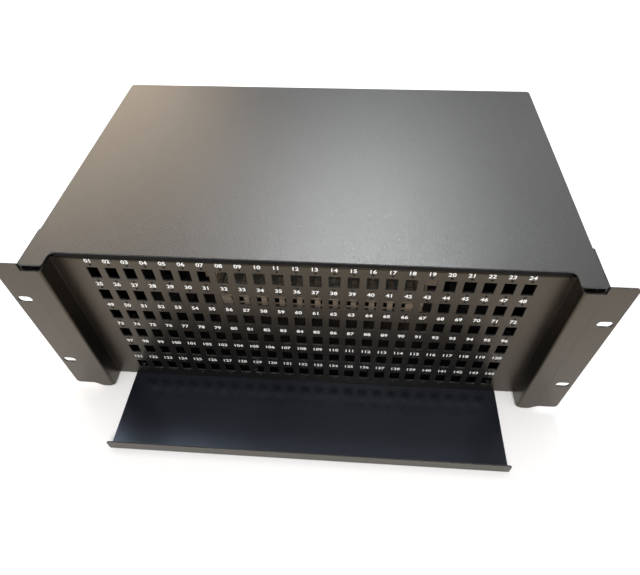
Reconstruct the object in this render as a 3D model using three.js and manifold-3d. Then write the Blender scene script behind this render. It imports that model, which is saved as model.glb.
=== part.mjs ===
// A 4U, 19 inch rack-mount fibre termination box: a sheet-steel housing with 144 adapter ports,
// a pull-out cable tray, and the splice trays, glands and fasteners that it needs to work.
// Millimetres. +X is the front's right, +Y is towards the back, +Z is up.

import * as THREE from 'three';
import { mergeVertices } from 'three/addons/utils/BufferGeometryUtils.js';
import Module from 'manifold-3d';

const wasm = await Module();
wasm.setup();

// ---------- driving dimensions ----------

const gap = 0.3; // clearance between two separate pieces
const panelSheet = 1.5; // thickness of the front panel and the ears
const bodySheet = 1.2; // thickness of the base pan, the cover and the cable tray
const railSheet = 0.9;
const sides = [-1, 1];
const sideNames = { '-1': 'left', '1': 'right' };

// heights above the lowest point, the underside of the tray rails
const trayPlateBottom = railSheet + gap;
const trayPlateTop = trayPlateBottom + bodySheet;
const floorBottom = trayPlateTop + gap;
const floorTop = floorBottom + bodySheet;
const flangeBottom = 1.2;
const panelTop = 176.1;
const coverTop = 182.8;
const coverUnder = coverTop - bodySheet;
const wallTop = coverUnder - gap;

// rack ears: 19 inch overall width, 4U tall
const rackHalfWidth = 482.6 / 2;
const earBottom = 6.3;
const earTop = earBottom + 177;
const earMiddle = (earBottom + earTop) / 2;
const earLegDepth = 43;
const earCornerRadius = 3.5;
const slotSpacing = 92;
const slotX = 232.5;
const slotLength = 12;
const slotHeight = 7;

// housing
const wallOuter = 219.5; // outer face of a side wall, from the middle
const wallInner = wallOuter - bodySheet;
const boxRear = 280;
const rearInner = boxRear - bodySheet;
const earInner = wallOuter + gap;
const seamX = wallOuter + gap / 2;
const stepReach = 5.5; // how far the step in the bottom edge runs to each side of the seam

// front panel: flange, web, recessed face, web, flange
const webInner = 203.5;
const webOuter = webInner + panelSheet;
const recessDepth = 16.5;
const faceBack = recessDepth + panelSheet;

// adapter ports
const portColumns = 24;
const portRows = 6;
const portPitchX = 15.05;
const portPitchZ = 27.6;
const portWidth = 9.5;
const portHeight = 13.2;
const topPortRow = 158.8;

// cover
const coverHalfWidth = 218.9;
const tabInner = 200;
const tabFront = 0.5;
const coverFront = 15;
const coverSideFlange = 12;

// cable tray
const trayHalfWidth = 185.1;
const trayFront = -65.8;
const trayRear = 84;
const trayLipTop = 15.5;
const railRear = 262;
const railFront = 20;
const railOuter = 217;

// splice tray stack
const spliceTrays = 4;
const spliceHalfWidth = 118;
const spliceFront = 104;
const spliceRear = 214;
const spliceHeight = 10.3;
const spliceBottom = floorTop + 2.6;
const spliceWall = 1.6;
const spliceStep = spliceHeight + gap;
const stackTop = spliceBottom + spliceTrays * spliceStep - gap;
const studX = spliceHalfWidth + 15;
const studY = (spliceFront + spliceRear) / 2;
const studRadius = 2.2;
const lidHalfWidth = spliceHalfWidth - 6;
const lidAxisY = spliceRear + 3;
const lidAxisZ = stackTop + 1.6;
const lidPin = 1.2;

// cable glands through the rear wall
const glandPlaces = [-170, -130, 130, 170];
const glandHeight = 34;
const glandRadius = 10;
const glandNutRear = boxRear + 24;

// fasteners
const screwShank = 1.8;
const screwHead = 3.6;
const screwHeadHeight = 2.2;

// ---------- helpers ----------

// a closed geometry as a solid: shared corners are merged, and triangles that this flattens are dropped
function solid(geometry) {
  geometry.deleteAttribute('normal');
  geometry.deleteAttribute('uv');
  const merged = mergeVertices(geometry, 1e-4);
  const corners = merged.index.array;
  const triangles = [];
  for (let start = 0; start < corners.length; start += 3) {
    const [a, b, c] = corners.slice(start, start + 3);
    if (a !== b && b !== c && c !== a) triangles.push(a, b, c);
  }
  return new wasm.Manifold(
    new wasm.Mesh({
      numProp: 3,
      vertProperties: new Float32Array(merged.attributes.position.array),
      triVerts: new Uint32Array(triangles),
    }),
  );
}

function geometryOf(manifold) {
  const mesh = manifold.getMesh();
  const geometry = new THREE.BufferGeometry();
  geometry.setAttribute('position', new THREE.BufferAttribute(mesh.vertProperties, 3));
  geometry.setIndex(new THREE.BufferAttribute(mesh.triVerts, 1));
  geometry.computeVertexNormals();
  return geometry;
}

function join(...parts) {
  return parts.reduce((whole, part) => whole.add(part));
}

function cut(whole, ...tools) {
  return tools.reduce((left, tool) => left.subtract(tool), whole);
}

// a box between two corners, given as [from, to] along each axis in either order
function block([x0, x1], [y0, y1], [z0, z1]) {
  const geometry = new THREE.BoxGeometry(Math.abs(x1 - x0), Math.abs(y1 - y0), Math.abs(z1 - z0));
  geometry.translate((x0 + x1) / 2, (y0 + y1) / 2, (z0 + z1) / 2);
  return solid(geometry);
}

// turns a geometry made about +Y so that it lies along 'x', 'y' or 'z', then moves it
function place(geometry, axis, x, y, z) {
  if (axis === 'x') geometry.rotateZ(-Math.PI / 2);
  if (axis === '-x') geometry.rotateZ(Math.PI / 2);
  if (axis === '-y') geometry.rotateX(Math.PI);
  if (axis === 'z') geometry.rotateX(Math.PI / 2);
  if (axis === '-z') geometry.rotateX(-Math.PI / 2);
  geometry.translate(x, y, z);
  return geometry;
}

// a round bar that starts at a point and runs along an axis
function rod(radius, length, axis, x, y, z, facets = 10) {
  const geometry = new THREE.CylinderGeometry(radius, radius, length, facets);
  geometry.translate(0, length / 2, 0);
  return solid(place(geometry, axis, x, y, z));
}

// a body turned about an axis, from [radius, distance] points that start and end on the axis or meet
function turned(profile, axis, x, y, z, facets = 12) {
  const points = profile.map(([radius, along]) => new THREE.Vector2(radius, along));
  return solid(place(new THREE.LatheGeometry(points, facets), axis, x, y, z));
}

// a flat outline in X and Y, raised along Z from one height to another
function raised(shape, from, to, curveSegments = 2) {
  const geometry = new THREE.ExtrudeGeometry(shape, { depth: to - from, bevelEnabled: false, curveSegments });
  geometry.translate(0, 0, from);
  return solid(geometry);
}

// an upright outline in X and Z, thickened along Y from one depth to another
function upright(shape, from, to, curveSegments = 2) {
  const geometry = new THREE.ExtrudeGeometry(shape, { depth: to - from, bevelEnabled: false, curveSegments });
  geometry.rotateX(Math.PI / 2);
  geometry.translate(0, to, 0);
  return solid(geometry);
}

// a rectangle with its own radius at each corner: lower left, lower right, upper right, upper left
function rectangle(left, right, bottom, top, radii = [0, 0, 0, 0]) {
  const [a, b, c, d] = radii;
  const quarter = Math.PI / 2;
  const shape = new THREE.Shape();
  shape.moveTo(left + a, bottom);
  shape.lineTo(right - b, bottom);
  if (b > 0) shape.absarc(right - b, bottom + b, b, -quarter, 0, false);
  shape.lineTo(right, top - c);
  if (c > 0) shape.absarc(right - c, top - c, c, 0, quarter, false);
  shape.lineTo(left + d, top);
  if (d > 0) shape.absarc(left + d, top - d, d, quarter, 2 * quarter, false);
  shape.lineTo(left, bottom + a);
  if (a > 0) shape.absarc(left + a, bottom + a, a, 2 * quarter, 3 * quarter, false);
  return shape;
}

const box = new THREE.Group();

function addPiece(name, material, manifold) {
  const mesh = new THREE.Mesh(geometryOf(manifold), material.clone());
  mesh.name = name;
  box.add(mesh);
}

// ---------- materials ----------

const paintedSteel = new THREE.MeshStandardMaterial({ color: 0x2a2a2b, roughness: 0.45, metalness: 0.2 });
const paintedTop = new THREE.MeshStandardMaterial({ color: 0x343434, roughness: 0.4, metalness: 0.2 });
const zincSteel = new THREE.MeshStandardMaterial({ color: 0xb9bcc0, roughness: 0.35, metalness: 1 });
const blackScrew = new THREE.MeshStandardMaterial({ color: 0x1b1b1c, roughness: 0.35, metalness: 0.6 });
const trayPlastic = new THREE.MeshStandardMaterial({ color: 0xd8d2c2, roughness: 0.55, metalness: 0 });
const lidPlastic = new THREE.MeshStandardMaterial({ color: 0xe6e2d6, roughness: 0.35, metalness: 0 });
const blackPlastic = new THREE.MeshStandardMaterial({ color: 0x19191a, roughness: 0.6, metalness: 0 });

// ---------- fasteners ----------

// where each group of screws goes: the point where the head's underside sits, and the way the shank runs
const earScrewHeights = [32, earMiddle, earTop - 25.5];
const earScrewY = 28;
const coverScrewDepths = [110, 230];
const coverScrewHeight = coverTop - 7;
const rearScrewX = 150;
const panelScrewPlaces = [-180, -60, 60, 180];
const panelScrewY = 26;
const panelFlangeTop = floorTop + gap + panelSheet;
const railScrewX = 212;
const railScrewDepths = [40, 90];
const railScrewHead = 1.0;

// a hole for a shank that runs along an axis, wide enough to clear it
function shankHole(axis, x, y, z, length) {
  return rod(screwShank + gap, length, axis, x, y, z, 8);
}

function panScrew(axis, x, y, z, length) {
  const profile = [
    [0, -screwHeadHeight],
    [screwHead * 0.6, -screwHeadHeight],
    [screwHead, 0],
    [screwShank, 0],
    [screwShank, length],
    [0, length],
  ];
  return turned(profile, axis, x, y, z, 8);
}

// a hexagonal nut whose faceted bore clears a round shank of the given radius
function hexNut(acrossCorners, shank, height, axis, x, y, z) {
  const facets = 16;
  const bore = (shank + gap / 2) / Math.cos(Math.PI / facets);
  const body = rod(acrossCorners / 2, height, axis, x, y, z, 6);
  const hole = new THREE.CylinderGeometry(bore, bore, height + 2, facets);
  hole.translate(0, height / 2, 0);
  return cut(body, solid(place(hole, axis, x, y, z)));
}

function addFasteners() {
  for (const side of sides) {
    const name = sideNames[side];
    const inward = side > 0 ? '-x' : 'x';
    earScrewHeights.forEach((height, index) => {
      const headX = side * (earInner + panelSheet + gap);
      addPiece(`ear_screw_${name}_${index + 1}`, blackScrew, panScrew(inward, headX, earScrewY, height, 7));
    });
    coverScrewDepths.forEach((depth, index) => {
      const headX = side * (wallOuter + gap);
      const screw = panScrew(inward, headX, depth, coverScrewHeight, 6);
      addPiece(`cover_screw_${name}_${index + 1}`, blackScrew, screw);
    });
    const rear = panScrew('-y', side * rearScrewX, boxRear + gap, coverScrewHeight, 6);
    addPiece(`cover_screw_rear_${name}`, blackScrew, rear);
    railScrewDepths.forEach((depth, index) => {
      const under = trayPlateTop - railSheet - gap;
      const head = rod(screwHead, railScrewHead, 'z', side * railScrewX, depth, under - railScrewHead, 8);
      const shank = rod(screwShank, 8, 'z', side * railScrewX, depth, under - railScrewHead / 2, 8);
      addPiece(`rail_screw_${name}_${index + 1}`, zincSteel, join(head, shank));
      const nut = hexNut(8.1, screwShank, 3, 'z', side * railScrewX, depth, floorTop + gap);
      addPiece(`rail_nut_${name}_${index + 1}`, zincSteel, nut);
    });
  }
  panelScrewPlaces.forEach((x, index) => {
    const screwLength = panelFlangeTop - floorBottom - gap / 2;
    const screw = panScrew('-z', x, panelScrewY, panelFlangeTop + gap, screwLength);
    addPiece(`panel_screw_${index + 1}`, zincSteel, screw);
  });
}

// ---------- front panel ----------

// the bottom edge steps up in one smooth curve from the panel's flange to the ear, across the seam
function stepPoints(from, to) {
  const count = 4;
  const points = [];
  for (let index = 0; index <= count; index += 1) {
    const x = from + ((to - from) * index) / count;
    const along = (x - seamX + stepReach) / (2 * stepReach);
    points.push([x, flangeBottom + (earBottom - flangeBottom) * along * along * (3 - 2 * along)]);
  }
  return points;
}

function portCentres() {
  const centres = [];
  for (let row = 0; row < portRows; row += 1) {
    for (let column = 0; column < portColumns; column += 1) {
      const x = (column - (portColumns - 1) / 2) * portPitchX;
      centres.push([x, topPortRow - row * portPitchZ]);
    }
  }
  return centres;
}

// the panel's flange, from the web to the seam with the ear
function panelFlangeOutline(side) {
  const corner = 3;
  const shape = new THREE.Shape();
  shape.moveTo(side * webInner, flangeBottom + corner);
  shape.quadraticCurveTo(side * webInner, flangeBottom, side * (webInner + corner), flangeBottom);
  stepPoints(seamX - stepReach, wallOuter).forEach(([x, z]) => shape.lineTo(side * x, z));
  shape.lineTo(side * wallOuter, panelTop);
  shape.lineTo(side * webInner, panelTop);
  return shape;
}

function addFrontPanel() {
  let panel = block([-webOuter, webOuter], [recessDepth, faceBack], [floorBottom, panelTop]);
  for (const side of sides) {
    const web = block([side * webInner, side * webOuter], [0, faceBack], [flangeBottom + 1, panelTop]);
    panel = join(panel, web, upright(panelFlangeOutline(side), 0, panelSheet));
  }
  const flangeRear = 34;
  const bottomFlange = block([-200, 200], [recessDepth, flangeRear], [floorTop + gap, panelFlangeTop]);
  const topFlange = block([-200, 200], [recessDepth, flangeRear - 4], [panelTop - panelSheet, panelTop]);
  panel = join(panel, bottomFlange, topFlange);
  const holes = panelScrewPlaces.map((x) => shankHole('z', x, panelScrewY, floorTop, 4));
  const ports = portCentres().map(([x, z]) =>
    block(
      [x - portWidth / 2, x + portWidth / 2],
      [recessDepth - 1, faceBack + 1],
      [z - portHeight / 2, z + portHeight / 2],
    ));
  addPiece('front_panel', paintedSteel, cut(panel, ...holes, ...ports));
}

// ---------- base pan: floor, side walls and rear wall in one folded sheet ----------

// the cover's screws sit in notches that are open at the top, so the cover lifts off with them in place

function addBasePan() {
  const outside = block([-wallOuter, wallOuter], [panelSheet + gap, boxRear], [floorBottom, wallTop]);
  const inside = block([-wallInner, wallInner], [0, rearInner], [floorTop, wallTop + 1]);
  const panelRoom = block([-webOuter - gap, webOuter + gap], [0, faceBack + gap], [0, wallTop + 1]);
  const holes = [];
  for (const side of sides) {
    const outward = side > 0 ? 'x' : '-x';
    const start = side * (wallInner - 1);
    earScrewHeights.forEach((height) => holes.push(shankHole(outward, start, earScrewY, height, 4)));
    coverScrewDepths.forEach((depth) => {
      holes.push(shankHole(outward, start, depth, coverScrewHeight, 4));
      const width = screwShank + gap;
      const along = [start, side * (wallOuter + 1)];
      holes.push(block(along, [depth - width, depth + width], [coverScrewHeight, wallTop + 1]));
    });
    const half = screwShank + gap;
    const middle = side * rearScrewX;
    holes.push(shankHole('y', middle, rearInner - 1, coverScrewHeight, 4));
    const notch = [coverScrewHeight, wallTop + 1];
    holes.push(block([middle - half, middle + half], [rearInner - 1, boxRear + 1], notch));
    for (const depth of railScrewDepths) {
      holes.push(shankHole('z', side * railScrewX, depth, floorBottom - 1, 4));
    }
  }
  panelScrewPlaces.forEach((x) => holes.push(shankHole('z', x, panelScrewY, floorBottom - 1, 4)));
  glandPlaces.forEach((x) => holes.push(rod(glandRadius + gap, 4, 'y', x, rearInner - 1, glandHeight, 16)));
  holes.push(rod(groundRadius + gap, 4, 'y', groundX, rearInner - 1, groundHeight));
  addPiece('base_pan', paintedSteel, cut(outside, inside, panelRoom, ...holes));
}

// ---------- top cover ----------

// the plate's outline: round rear corners, and a tab at each front corner that reaches past the panel
function coverOutline() {
  const rearRadius = 3.5;
  const tabRadius = 2;
  const innerRadius = 4.5;
  const quarter = Math.PI / 2;
  const rear = boxRear;
  const shape = new THREE.Shape();
  shape.moveTo(-coverHalfWidth + tabRadius, tabFront);
  shape.lineTo(-tabInner - tabRadius, tabFront);
  shape.absarc(-tabInner - tabRadius, tabFront + tabRadius, tabRadius, -quarter, 0, false);
  shape.lineTo(-tabInner, coverFront - innerRadius);
  shape.absarc(-tabInner + innerRadius, coverFront - innerRadius, innerRadius, 2 * quarter, quarter, true);
  shape.lineTo(tabInner - innerRadius, coverFront);
  shape.absarc(tabInner - innerRadius, coverFront - innerRadius, innerRadius, quarter, 0, true);
  shape.lineTo(tabInner, tabFront + tabRadius);
  shape.absarc(tabInner + tabRadius, tabFront + tabRadius, tabRadius, 2 * quarter, 3 * quarter, false);
  shape.lineTo(coverHalfWidth - tabRadius, tabFront);
  shape.absarc(coverHalfWidth - tabRadius, tabFront + tabRadius, tabRadius, -quarter, 0, false);
  shape.lineTo(coverHalfWidth, rear - rearRadius);
  shape.absarc(coverHalfWidth - rearRadius, rear - rearRadius, rearRadius, 0, quarter, false);
  shape.lineTo(-coverHalfWidth + rearRadius, rear);
  shape.absarc(-coverHalfWidth + rearRadius, rear - rearRadius, rearRadius, quarter, 2 * quarter, false);
  shape.lineTo(-coverHalfWidth, tabFront + tabRadius);
  shape.absarc(-coverHalfWidth + tabRadius, tabFront + tabRadius, tabRadius, 2 * quarter, 3 * quarter, false);
  return shape;
}

function addTopCover() {
  const flangeOuter = wallInner - gap;
  const flangeRear = rearInner - gap;
  const flangeFrom = coverTop - coverSideFlange;
  let cover = raised(coverOutline(), coverUnder, coverTop, 2);
  const frontEnd = tabInner - 6;
  const frontFlange = [coverUnder, panelTop + 0.8];
  const front = block([-frontEnd, frontEnd], [coverFront, coverFront + bodySheet], frontFlange);
  const rear = block([-210, 210], [flangeRear - bodySheet, flangeRear], [flangeFrom, coverUnder]);
  cover = join(cover, front, rear);
  for (const side of sides) {
    const across = [side * (flangeOuter - bodySheet), side * flangeOuter];
    const flange = block(across, [8, 270], [flangeFrom, coverUnder]);
    const holes = coverScrewDepths.map((depth) =>
      shankHole('x', side * (flangeOuter - bodySheet / 2) - 2, depth, coverScrewHeight, 4));
    holes.push(shankHole('y', side * rearScrewX, flangeRear - 3, coverScrewHeight, 4));
    cover = cut(join(cover, flange), ...holes);
  }
  addPiece('top_cover', paintedTop, cover);
}

// ---------- rack ears ----------

function earOutline(side) {
  const radius = earCornerRadius;
  const outer = rackHalfWidth;
  const shape = new THREE.Shape();
  shape.moveTo(side * earInner, earTop);
  stepPoints(earInner, seamX + stepReach).forEach(([x, z]) => shape.lineTo(side * x, z));
  shape.lineTo(side * (outer - radius), earBottom);
  shape.quadraticCurveTo(side * outer, earBottom, side * outer, earBottom + radius);
  shape.lineTo(side * outer, earTop - radius);
  shape.quadraticCurveTo(side * outer, earTop, side * (outer - radius), earTop);
  return shape;
}

function addEars() {
  for (const side of sides) {
    const flangeShape = earOutline(side);
    for (const up of sides) {
      const middle = earMiddle + (up * slotSpacing) / 2;
      const half = slotHeight / 2;
      const slot = rectangle(
        side * slotX - slotLength / 2,
        side * slotX + slotLength / 2,
        middle - half,
        middle + half,
        [half, half, half, half],
      );
      flangeShape.holes.push(slot);
    }
    const flange = upright(flangeShape, 0, panelSheet);
    const legX = [side * earInner, side * (earInner + panelSheet)];
    const legInset = 2;
    const leg = block(legX, [0, earLegDepth], [earBottom + legInset, earTop - legInset]);
    const holes = earScrewHeights.map((height) => shankHole('x', side * earInner - 2, earScrewY, height, 4));
    addPiece(`rack_ear_${sideNames[side]}`, paintedSteel, cut(join(flange, leg), ...holes));
  }
}

// ---------- cable tray and its rails ----------

function addCableTray() {
  const across = [-trayHalfWidth, trayHalfWidth];
  const plate = block(across, [trayFront, trayRear], [trayPlateBottom, trayPlateTop]);
  const lipShape = rectangle(-trayHalfWidth, trayHalfWidth, trayPlateBottom, trayLipTop, [0, 0, 3, 3]);
  addPiece('cable_tray', paintedSteel, join(plate, upright(lipShape, trayFront, trayFront + bodySheet)));
  for (const side of sides) {
    const web = trayHalfWidth + gap;
    const ledgeInner = trayHalfWidth - 8;
    const length = [railFront, railRear];
    const ledge = block([side * ledgeInner, side * (web + railSheet)], length, [0, railSheet]);
    const wall = block([side * web, side * (web + railSheet)], length, [0, trayPlateTop]);
    const flange = block([side * web, side * railOuter], length, [trayPlateTop - railSheet, trayPlateTop]);
    const holes = railScrewDepths.map((depth) => shankHole('z', side * railScrewX, depth, 0, 4));
    addPiece(`tray_rail_${sideNames[side]}`, paintedSteel, cut(join(ledge, wall, flange), ...holes));
  }
}

// ---------- splice tray stack ----------

function spliceTray(bottom) {
  const top = bottom + spliceHeight;
  const half = spliceHalfWidth;
  const outline = rectangle(-half, half, spliceFront, spliceRear, [8, 8, 8, 8]);
  const inset = spliceWall;
  const inner = rectangle(-half + inset, half - inset, spliceFront + inset, spliceRear - inset, [6, 6, 6, 6]);
  let tray = cut(raised(outline, bottom, top), raised(inner, bottom + spliceWall, top + 1));
  for (const side of sides) {
    const lug = block([side * (half - 1), side * (studX + 8)], [studY - 8, studY + 8], [bottom, top]);
    const studHole = rod(studRadius + gap, spliceHeight + 2, 'z', side * studX, studY, bottom - 1, 10);
    tray = cut(join(tray, lug), studHole);
  }
  return tray;
}

function addSpliceStack() {
  for (let index = 0; index < spliceTrays; index += 1) {
    let tray = spliceTray(spliceBottom + index * spliceStep);
    if (index === spliceTrays - 1) {
      for (const side of sides) {
        const width = [side * (lidHalfWidth + 0.6), side * (lidHalfWidth + 5.5)];
        const lug = block(width, [spliceRear - 1, lidAxisY + 2.6], [stackTop - 6, lidAxisZ + 2.6]);
        const lugMiddle = side * (lidHalfWidth + 3);
        const pinHole = rod(lidPin + gap, 10, 'x', lugMiddle - 5, lidAxisY, lidAxisZ, 10);
        tray = cut(join(tray, lug), pinHole);
      }
    }
    addPiece(`splice_tray_${index + 1}`, trayPlastic, tray);
  }
  const lidThickness = 1.6;
  const lidBottom = stackTop + gap;
  const lidShape = rectangle(-lidHalfWidth, lidHalfWidth, spliceFront + 1, spliceRear - 2, [6, 6, 0, 0]);
  const barrelHalf = lidHalfWidth - 1;
  const barrel = rod(2, 2 * barrelHalf, 'x', -barrelHalf, lidAxisY, lidAxisZ);
  const pin = rod(lidPin, 2 * lidHalfWidth + 10, 'x', -lidHalfWidth - 5, lidAxisY, lidAxisZ);
  const lidTop = lidBottom + lidThickness;
  const bridge = block([-barrelHalf, barrelHalf], [spliceRear - 3, lidAxisY], [lidBottom, lidTop]);
  addPiece('splice_lid', lidPlastic, join(raised(lidShape, lidBottom, lidTop), bridge, barrel, pin));
  for (const side of sides) {
    const footHeight = spliceBottom - floorTop - 2 * gap;
    const foot = rod(5, footHeight, 'z', side * studX, studY, floorTop + gap);
    const stud = rod(studRadius, stackTop + 11 - floorTop - gap, 'z', side * studX, studY, floorTop + gap);
    addPiece(`splice_stud_${sideNames[side]}`, zincSteel, join(foot, stud));
    addPiece(`wing_nut_${sideNames[side]}`, zincSteel, wingNut(side * studX, studY, stackTop + gap));
  }
}

// the wings stand along Y, clear of the lid
function wingNut(x, y, bottom) {
  const body = turned([[0, 0], [5, 0], [4, 6], [0, 6]], 'z', x, y, bottom, 10);
  const wing = new THREE.Shape();
  wing.moveTo(2, 1);
  wing.lineTo(6, 2);
  wing.lineTo(12, 9);
  wing.lineTo(10, 12);
  wing.lineTo(7, 11);
  wing.lineTo(3, 5.5);
  const wings = sides.map((side) => {
    const geometry = new THREE.ExtrudeGeometry(wing, { depth: 1.8, bevelEnabled: false });
    geometry.translate(0, 0, -0.9);
    geometry.rotateX(Math.PI / 2);
    geometry.rotateZ((side * Math.PI) / 2);
    geometry.translate(x, y, bottom);
    return solid(geometry);
  });
  return cut(join(body, ...wings), rod(studRadius + gap, 20, 'z', x, y, bottom - 1, 10));
}

// ---------- cable glands in the rear wall ----------

function addGlands() {
  glandPlaces.forEach((x, index) => {
    const number = index + 1;
    const bore = 6.5;
    const thread = glandRadius;
    const start = rearInner - 11;
    const collar = boxRear + gap;
    const tube = [
      [bore, start],
      [thread, start],
      [thread, collar + 5],
      [thread - 0.8, collar + 5],
      [thread - 0.8, glandNutRear - 6],
      [bore, glandNutRear - 6],
      [bore, start],
    ];
    const body = turned(tube, 'y', x, 0, glandHeight, 16);
    const hex = hexNut(27, bore + 0.5, 5, 'y', x, collar, glandHeight);
    addPiece(`gland_body_${number}`, blackPlastic, join(body, hex));
    const nutFront = collar + 5 + gap;
    const mouth = bore;
    const dome = [
      [thread - 0.8 + 2 * gap, nutFront],
      [12.8, nutFront],
      [12.8, nutFront + 9],
      [11.4, glandNutRear - 3],
      [8.6, glandNutRear],
      [mouth, glandNutRear],
      [mouth, glandNutRear - 4],
      [thread - 0.8 + 2 * gap, glandNutRear - 5],
      [thread - 0.8 + 2 * gap, nutFront],
    ];
    addPiece(`gland_nut_${number}`, blackPlastic, turned(dome, 'y', x, 0, glandHeight, 16));
    const lockBack = rearInner - gap;
    const lock = hexNut(27, thread, 4.5, 'y', x, lockBack - 4.5, glandHeight);
    addPiece(`gland_lock_nut_${number}`, blackPlastic, lock);
  });
}

// ---------- cable clamps, slack spools and ground stud ----------

const groundRadius = 2.9;
const groundX = 0;
const groundHeight = 22;

function addCableClamps() {
  for (const side of sides) {
    const middle = side * 150;
    const width = [middle - 34, middle + 34];
    const front = 228;
    const bottom = floorTop + gap;
    const foot = block(width, [front, front + 22], [bottom, bottom + bodySheet]);
    const fence = block(width, [front, front + bodySheet], [bottom, bottom + 40]);
    const windows = [-24, -8, 8, 24].map((offset) => {
      const across = [middle + offset - 4.5, middle + offset + 4.5];
      return block(across, [front - 1, front + 3], [bottom + 14, bottom + 34]);
    });
    addPiece(`cable_clamp_${sideNames[side]}`, zincSteel, cut(join(foot, fence), ...windows));
  }
}

function addSlackSpools() {
  const drum = [[3, 0], [31, 0], [31, 1.6], [25, 1.6], [25, 22.4], [31, 22.4], [31, 24], [3, 24], [3, 0]];
  for (const side of sides) {
    const spool = turned(drum, 'z', side * 178, 128, floorTop + gap, 16);
    addPiece(`slack_spool_${sideNames[side]}`, blackPlastic, spool);
  }
}

function addGroundStud() {
  const head = rod(5.5, 3, '-y', groundX, rearInner - gap, groundHeight, 6);
  const shank = rod(groundRadius, 17, 'y', groundX, rearInner - gap - 1, groundHeight);
  addPiece('ground_stud', zincSteel, join(head, shank));
  const nut = hexNut(11.5, groundRadius, 4.5, 'y', groundX, boxRear + gap, groundHeight);
  addPiece('ground_nut', zincSteel, nut);
}

// ---------- the whole box ----------

addFrontPanel();
addBasePan();
addTopCover();
addEars();
addCableTray();
addFasteners();
addSpliceStack();
addGlands();
addCableClamps();
addSlackSpools();
addGroundStud();

// the origin is the middle of the footprint, at the lowest point
box.position.y = -(trayFront + glandNutRear) / 2;
box.updateMatrixWorld(true);

export default box;
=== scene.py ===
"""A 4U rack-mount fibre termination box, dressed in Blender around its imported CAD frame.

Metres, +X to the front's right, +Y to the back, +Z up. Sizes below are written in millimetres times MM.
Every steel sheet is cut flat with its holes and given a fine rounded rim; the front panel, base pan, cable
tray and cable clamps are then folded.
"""

import math

import bmesh
import bpy
from mathutils import Euler, Matrix, Vector, geometry


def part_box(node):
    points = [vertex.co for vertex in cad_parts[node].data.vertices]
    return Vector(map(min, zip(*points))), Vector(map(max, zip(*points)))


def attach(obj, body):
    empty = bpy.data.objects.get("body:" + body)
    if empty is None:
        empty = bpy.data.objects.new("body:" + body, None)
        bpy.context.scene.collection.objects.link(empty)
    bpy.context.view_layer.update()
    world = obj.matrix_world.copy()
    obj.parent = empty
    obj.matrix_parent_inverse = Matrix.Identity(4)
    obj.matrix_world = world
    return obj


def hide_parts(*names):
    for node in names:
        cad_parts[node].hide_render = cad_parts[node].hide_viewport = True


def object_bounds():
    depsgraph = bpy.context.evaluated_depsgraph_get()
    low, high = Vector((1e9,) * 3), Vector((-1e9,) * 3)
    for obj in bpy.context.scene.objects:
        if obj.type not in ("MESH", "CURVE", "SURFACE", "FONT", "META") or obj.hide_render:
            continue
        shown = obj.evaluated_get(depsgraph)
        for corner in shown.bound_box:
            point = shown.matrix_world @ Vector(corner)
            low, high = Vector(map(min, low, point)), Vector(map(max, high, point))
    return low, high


MM = 0.001
RIGHT_ANGLE = math.pi / 2
SIDES = (("left", -1), ("right", 1))

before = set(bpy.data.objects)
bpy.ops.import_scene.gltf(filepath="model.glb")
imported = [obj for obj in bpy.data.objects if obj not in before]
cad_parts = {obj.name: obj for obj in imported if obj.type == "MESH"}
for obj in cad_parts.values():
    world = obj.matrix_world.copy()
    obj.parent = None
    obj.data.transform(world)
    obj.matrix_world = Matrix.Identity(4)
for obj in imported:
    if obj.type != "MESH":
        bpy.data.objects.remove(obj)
cad_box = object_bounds()


# ---------------------------------------------------------------- camera, floor and light

def add_object(name, data):
    added = bpy.data.objects.new(name, data)
    bpy.context.scene.collection.objects.link(added)
    return added


def make_camera():
    data = bpy.data.cameras.new("camera")
    data.sensor_width = 36.0
    data.lens = 27.84
    camera = add_object("camera", data)
    camera.location = (0.034, -0.3608, 0.4533)
    camera.rotation_euler = Euler([math.radians(a) for a in (40.69, 0.99, 3.95)])
    bpy.context.scene.camera = camera


def make_floor():
    half = 14.0
    mesh = bpy.data.meshes.new("floor")
    corners = [(-half, -half, 0), (half, -half, 0), (half, half, 0), (-half, half, 0)]
    mesh.from_pydata(corners, [], [(0, 1, 2, 3)])
    floor = add_object("floor", mesh)
    floor.location.z = cad_box[0].z - 0.2 * MM
    material, shader, _ = new_material("floor_paper")
    shader.inputs["Base Color"].default_value = (0.92, 0.915, 0.91, 1)
    shader.inputs["Roughness"].default_value = 0.8
    mesh.materials.append(material)


def area_light(name, place, target, size, power, colour, reflected=True):
    """A softbox. One that isn't reflected only lifts the light that falls on matt surfaces."""
    data = bpy.data.lights.new(name, "AREA")
    data.shape = "RECTANGLE"
    data.size, data.size_y = size
    data.energy = power
    data.color = colour
    light = add_object(name, data)
    light.location = place
    light.rotation_euler = (Vector(target) - Vector(place)).to_track_quat("-Z", "Y").to_euler()
    light.visible_glossy = reflected


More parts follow.
